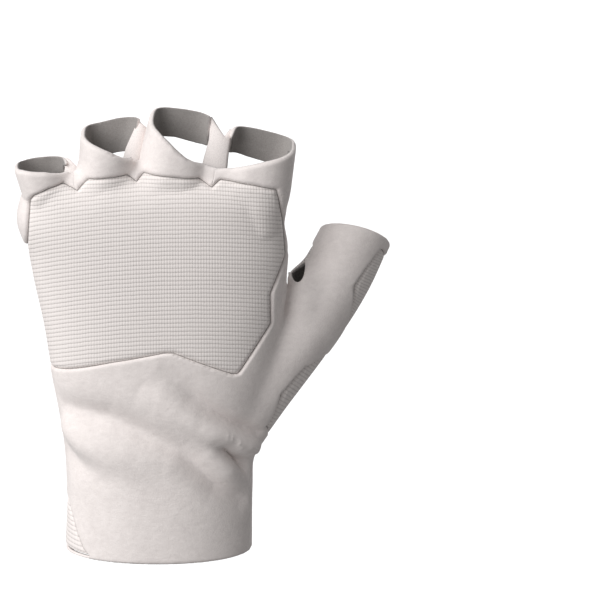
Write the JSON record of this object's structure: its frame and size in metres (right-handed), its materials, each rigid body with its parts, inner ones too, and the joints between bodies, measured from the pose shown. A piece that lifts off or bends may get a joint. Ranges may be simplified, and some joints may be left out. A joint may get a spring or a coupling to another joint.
{
  "type": "fingerless open-palm climbing glove, left hand",
  "caption": "Fingerless climbing glove for the left hand with a suede back, ribbed stretch panels, an open palm with a grey lining, and a hook-and-loop wrist closure.",
  "frame": {"origin": "centre of the wrist opening, on the plane of its rim", "axes": "+Z from the wrist to the fingers, -Y out of the back of the hand, +Y out of the palm, +X to the thumb side"},
  "size_m": [0.1293, 0.0495, 0.153],
  "materials": {
    "suede": "matte",
    "rib_knit": "matte",
    "lining": "matte",
    "trim": "matte",
    "loop_pile": "matte",
    "hook_tape": "matte"
  },
  "bodies": {
    "root": {"back_shell": "suede", "back_panel": "rib_knit", "back_lining": "lining", "thumb_side_panel": "rib_knit", "palm_wrap": "rib_knit", "wrap_binding": "trim", "cuff_gusset": "rib_knit", "wrist_flap": "suede", "loop_patch": "loop_pile", "hook_tab": "hook_tape", "finger_loop_little": "suede", "finger_loop_ring": "suede", "finger_loop_middle": "suede", "finger_loop_index": "suede", "finger_strap_index_middle": "lining", "finger_strap_middle_ring": "lining", "finger_strap_ring_little": "lining"}
  },
  "joints": []
}
